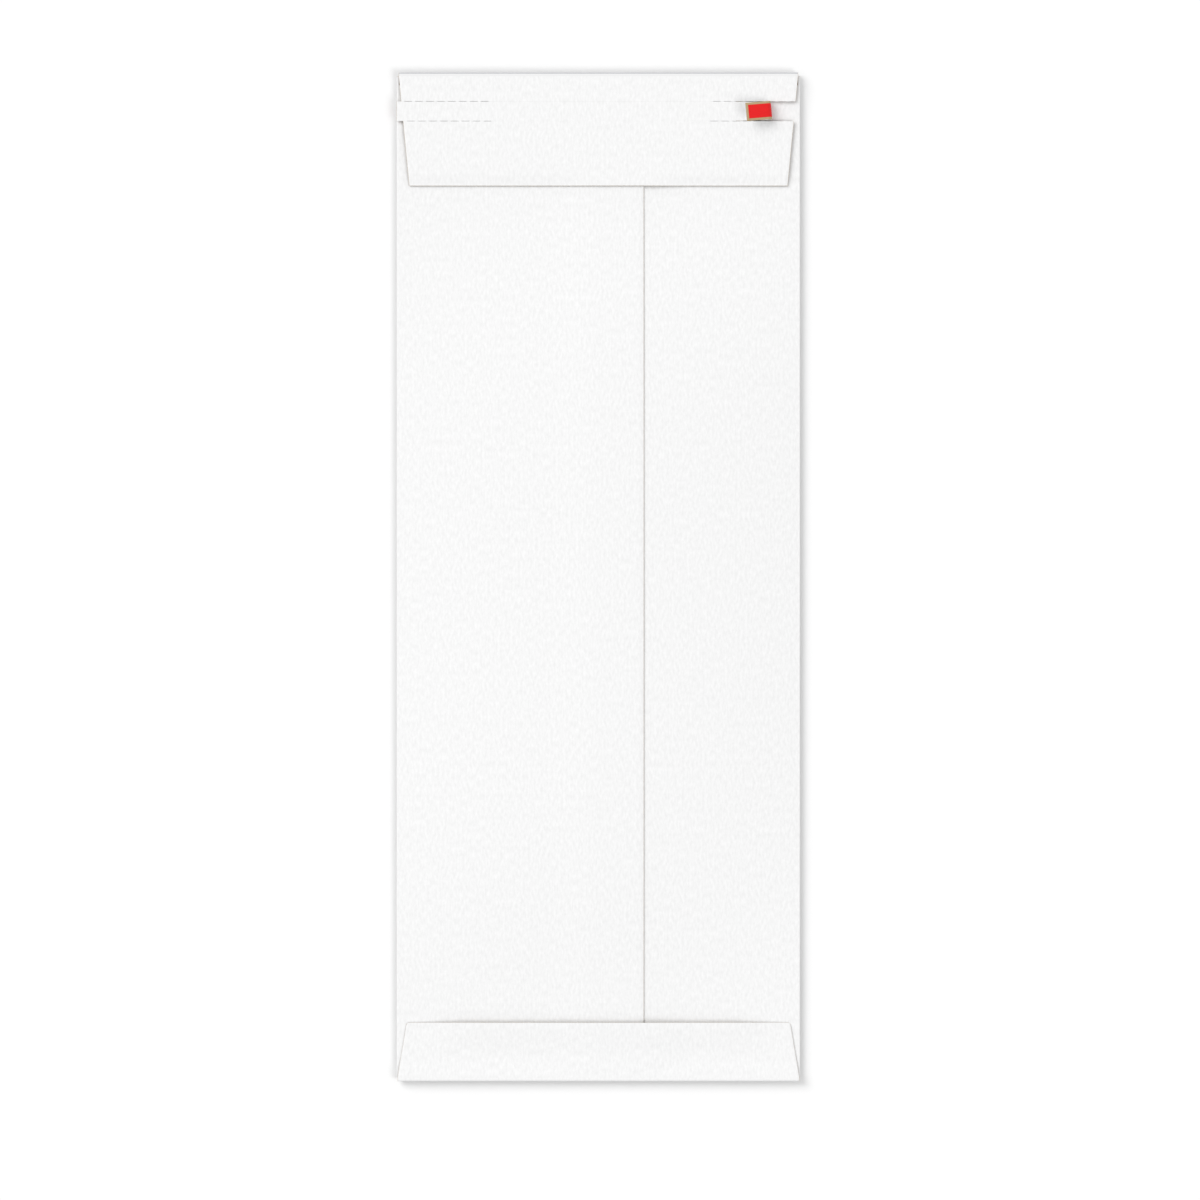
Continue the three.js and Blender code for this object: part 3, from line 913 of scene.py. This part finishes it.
class ENVELOPE_OT_tear_strip(bpy.types.Operator):
    """Makes the tear strip and the red tape under it, in lengths that meet end to end"""

    bl_idname = "envelope.tear_strip"
    bl_label = "Tear strip"

    def execute(self, context):
        bodies = ["closure_flap", *[f"strip_{k}" for k in STRIP_NUMBERS]]
        borders = strip_borders()
        strip_bend = settings().tab.strip_bend
        ties = settings().perforation.ties
        rows = spread(STRIP_LOW_Y + ties, STRIP_HIGH_Y - ties, 6)
        tape_rows = spread(TAPE_LOW_Y, TAPE_HIGH_Y, 4)
        for k in STRIP_NUMBERS:
            start, end = borders[k - 1], borders[k]
            columns = spread(start, end, 40)
            pair = (bodies[k - 1], bodies[k])
            ends = [(STRIP_JOINTS[k - 1] + way * strip_bend, STRIP_LOW_Y, FLAP_Z) for way in (-1, 1)]
            first = k == 1
            strip = level_sheet(
                f"tear_strip_board_{k}",
                columns,
                rows,
                lambda x, y: FLAP_Z,
                OUTSIDE_UP,
                cut=("first_u",) if first else (),
            )
            strip_nodes = ["starter_tab"] if first else []
            dress_bend(strip, "white_board", pair, *ends, *strip_nodes, f"tear_strip_{k}")
            tape = level_sheet(
                f"tear_tape_film_{k}",
                columns,
                tape_rows,
                lambda x, y: FLAP_Z - TAPE,
                ("tape",) * 3,
                TAPE,
            )
            tape_nodes = ["starter_tape"] if first else []
            dress_bend(tape, "red_tape", pair, *ends, *tape_nodes, f"tear_tape_{k}")
        return {"FINISHED"}


class ENVELOPE_OT_pull_tab(bpy.types.Operator):
    """Makes the strip's end folded back over itself, and the tape on it"""

    bl_idname = "envelope.pull_tab"
    bl_label = "Pull tab"

    def execute(self, context):
        tab = settings().tab
        ties = settings().perforation.ties
        tape_half = (TAPE_HIGH_Y - TAPE_LOW_Y) / 2
        board = self.folded(
            "pull_tab_board",
            (TAB_BEND, TAB_OUTER),
            (tab.width / 2, STRIP_LOW_Y + ties, STRIP_HIGH_Y - ties),
            tab.length,
            OUTSIDE_UP,
            ("last_u", "first_v", "last_v"),
        )
        tape = self.folded(
            "pull_tab_tape_film",
            (TAB_OUTER, TAB_OUTER + TAPE),
            (tape_half, TAPE_LOW_Y, TAPE_HIGH_Y),
            tab.length - tab.tape_margin,
            ("tape",) * 3,
            (),
        )
        start = (TAB_HINGE.x, TAB_HINGE.y, FLAP_Z + BOARD)
        end = (TAB_HINGE.x, TAB_HINGE.y, TAB_HINGE.z + TAB_BEND * math.cos(tab.rise))
        bodies = ("strip_6", "tab")
        dress_bend(board, "white_board", bodies, start, end, "pull_tab_fold", "pull_tab")
        dress_bend(tape, "red_tape", bodies, start, end, "pull_tab_fold_tape", "pull_tab_tape")
        return {"FINISHED"}

    def folded(self, name, radii, widths, leaf, finishes, cut):
        """A sheet that runs along the strip, round the fold and back over it as the leaf.
        radii are its inner and outer radius round the fold, and its underside is on the outer one."""
        tab = settings().tab
        inner, outer = radii
        half, low_y, high_y = widths
        turned = Matrix.Translation(TAB_HINGE) @ Matrix.Rotation(tab.turn, 4, "Z")
        from_x = strip_borders()[-1]
        arc = fold_angles(math.pi - tab.rise, 24)
        path = [("strip", t) for t in spread(0, 1, 10)[:-1]]
        path += [("arc", angle) for angle in arc]
        path += [("leaf", t) for t in spread(0, leaf, 12)[1:]]

        def local(step, across, radius):
            kind, t = step
            angle = arc[0] if kind == "strip" else t if kind == "arc" else arc[-1]
            point = Vector((radius * math.cos(angle), across, radius * math.sin(angle)))
            if kind == "leaf":
                point += t * Vector((-math.sin(angle), 0, math.cos(angle)))
            return turned @ point

        def along(step):
            kind, t = step
            if kind == "strip":
                return lerp(from_x, TAB_HINGE.x, t)
            round_fold = outer * (t - arc[0] if kind == "arc" else arc[-1] - arc[0])
            return TAB_HINGE.x + round_fold + (t if kind == "leaf" else 0)

        def place(index, share):
            step = path[int(index)]
            points = [local(step, share * half, r) for r in (outer, inner)]
            if step[0] == "strip":
                strip_y = lerp(low_y, high_y, (share + 1) / 2)
                hold = smooth01(step[1])
                points = [
                    Vector((lerp(from_x, p.x, step[1]), lerp(strip_y, p.y, hold), p.z)) for p in points
                ]
            return *points, (along(step), TAB_HINGE.y + share * half)

        return board_sheet(name, range(len(path)), spread(-1, 1, 8), place, finishes, cut)


class ENVELOPE_OT_seal(bpy.types.Operator):
    """Makes the peel-and-seal adhesive under the closure flap and the liner that covers it"""

    bl_idname = "envelope.seal"
    bl_label = "Seal and liner"

    def execute(self, context):
        adhesive = glue_film("seal_adhesive")
        dress(adhesive, "glue", "closure_flap", "seal_adhesive")
        lowest, highest = node_box("release_liner")
        liner = level_sheet(
            "release_liner_strip",
            spread(lowest.x, highest.x, WIDTH_STEPS),
            spread(lowest.y, highest.y, 10),
            lambda x, y: lowest.z,
            ("liner",) * 3,
            highest.z - lowest.z,
        )
        dress(liner, "liner", "liner", "release_liner")
        return {"FINISHED"}


class ENVELOPE_OT_stage(bpy.types.Operator):
    """Makes the pale floor, the soft studio light and the camera straight above"""

    bl_idname = "envelope.stage"
    bl_label = "Stage"

    def execute(self, context):
        scene = bpy.context.scene
        self.floor()
        self.light(scene)
        self.camera(scene)
        scene.view_settings.view_transform = "Standard"
        return {"FINISHED"}

    def floor(self):
        bm = bmesh.new()
        signs = ((-1, -1), (1, -1), (1, 1), (-1, 1))
        corners = [(x * FLOOR_REACH, y * FLOOR_REACH, -FLOOR_DROP) for x, y in signs]
        bm.faces.new([bm.verts.new(corner) for corner in corners])
        add_to_scene("studio_floor", bm, [studio_floor()])

    def light(self, scene):
        """A white room, a large softbox at the top left, and a weaker one opposite it."""
        sky = bpy.data.worlds.new("soft_white_room")
        sky.use_nodes = True
        background = sky.node_tree.nodes["Background"]
        background.inputs["Color"].default_value = (1, 1, 1, 1)
        background.inputs["Strength"].default_value = ROOM_LIGHT
        scene.world = sky
        for name, strength, width, towards in SOFTBOXES:
            light = bpy.data.lights.new(name, "SUN")
            light.energy = strength
            light.angle = math.radians(width)
            lamp = bpy.data.objects.new(name, light)
            lamp.rotation_euler = Vector(towards).to_track_quat("Z", "Y").to_euler()
            scene.collection.objects.link(lamp)

    def camera(self, scene):
        data = bpy.data.cameras.new("camera")
        data.lens = LENS
        data.sensor_width = SENSOR_WIDTH
        data.clip_end = CLIP_END
        camera = bpy.data.objects.new("camera", data)
        camera.location = VIEW_CENTRE + Vector((0, 0, VIEW_WIDTH * LENS / SENSOR_WIDTH))
        scene.collection.objects.link(camera)
        scene.camera = camera


class EnvelopeSettings(bpy.types.PropertyGroup):
    board: PointerProperty(type=EnvelopeBoard)
    perforation: PointerProperty(type=EnvelopePerforation)
    tab: PointerProperty(type=EnvelopeTab)
    colours: PointerProperty(type=EnvelopeColours)


OPERATORS = (
    ENVELOPE_OT_panels,
    ENVELOPE_OT_seam_glue,
    ENVELOPE_OT_bottom_flap,
    ENVELOPE_OT_closure_flap,
    ENVELOPE_OT_tear_strip,
    ENVELOPE_OT_pull_tab,
    ENVELOPE_OT_seal,
    ENVELOPE_OT_stage,
)


class ENVELOPE_PT_sidebar(bpy.types.Panel):
    """Lists what the envelope is made of"""

    bl_idname = "ENVELOPE_PT_sidebar"
    bl_label = "Board envelope"
    bl_space_type = "VIEW_3D"
    bl_region_type = "UI"
    bl_category = "Envelope"

    def draw(self, context):
        for operator in OPERATORS:
            self.layout.operator(operator.bl_idname)
        groups = context.scene.envelope_board
        for group in (groups.board, groups.perforation, groups.tab, groups.colours):
            box = self.layout.box()
            for name in group.__annotations__:
                box.prop(group, name)


CLASSES = (
    EnvelopeBoard,
    EnvelopePerforation,
    EnvelopeTab,
    EnvelopeColours,
    EnvelopeSettings,
    *OPERATORS,
    ENVELOPE_PT_sidebar,
)


def register():
    for cls in CLASSES:
        bpy.utils.register_class(cls)
    bpy.types.Scene.envelope_board = PointerProperty(type=EnvelopeSettings)


def unregister():
    del bpy.types.Scene.envelope_board
    for cls in reversed(CLASSES):
        bpy.utils.unregister_class(cls)


def main():
    register()
    for operator in OPERATORS:
        getattr(bpy.ops.envelope, operator.bl_idname.split(".")[1])()


if __name__ == "__main__":
    main()
